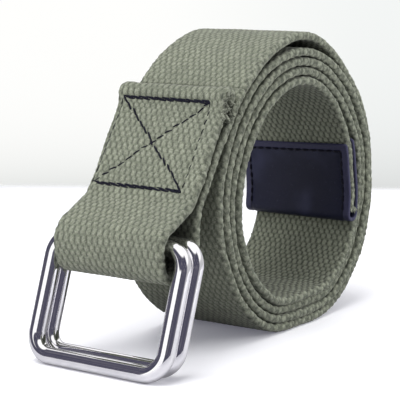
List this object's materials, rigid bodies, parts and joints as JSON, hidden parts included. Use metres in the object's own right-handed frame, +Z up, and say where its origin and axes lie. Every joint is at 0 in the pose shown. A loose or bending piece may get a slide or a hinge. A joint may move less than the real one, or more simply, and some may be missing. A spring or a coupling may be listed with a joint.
{
  "type": "double-ring webbing belt",
  "caption": "Flat cotton webbing belt wound into an upright coil, with two wire rings in a sewn end loop and a folded leather tip.",
  "frame": {"origin": "middle of the flat on which the coil stands, on the floor and midway across the webbing", "axes": "+Z up, +Y across the webbing, +X along the belt from the rings towards the coil"},
  "size_m": [0.1277, 0.0504, 0.0917],
  "materials": {
    "webbing": "coarse woven cotton, matt grey-green",
    "leather": "smooth dark navy leather, satin",
    "ring_metal": "bright plating over steel wire"
  },
  "bodies": {
    "belt": {"webbing": "webbing", "leather_tip": "leather"},
    "front_ring": {"ring_front": "ring_metal"},
    "back_ring": {"ring_back": "ring_metal"}
  },
  "joints": [
    {"name": "front_ring_swing", "type": "hinge", "parent": "belt", "child": "front_ring", "pos_m": [-0.0645, 0, 0.0355], "axis": [0, 1, 0], "range_deg": [0, 190]},
    {"name": "back_ring_swing", "type": "hinge", "parent": "belt", "child": "back_ring", "pos_m": [-0.0586, 0, 0.0355], "axis": [0, 1, 0], "range_deg": [-60, 0]}
  ]
}
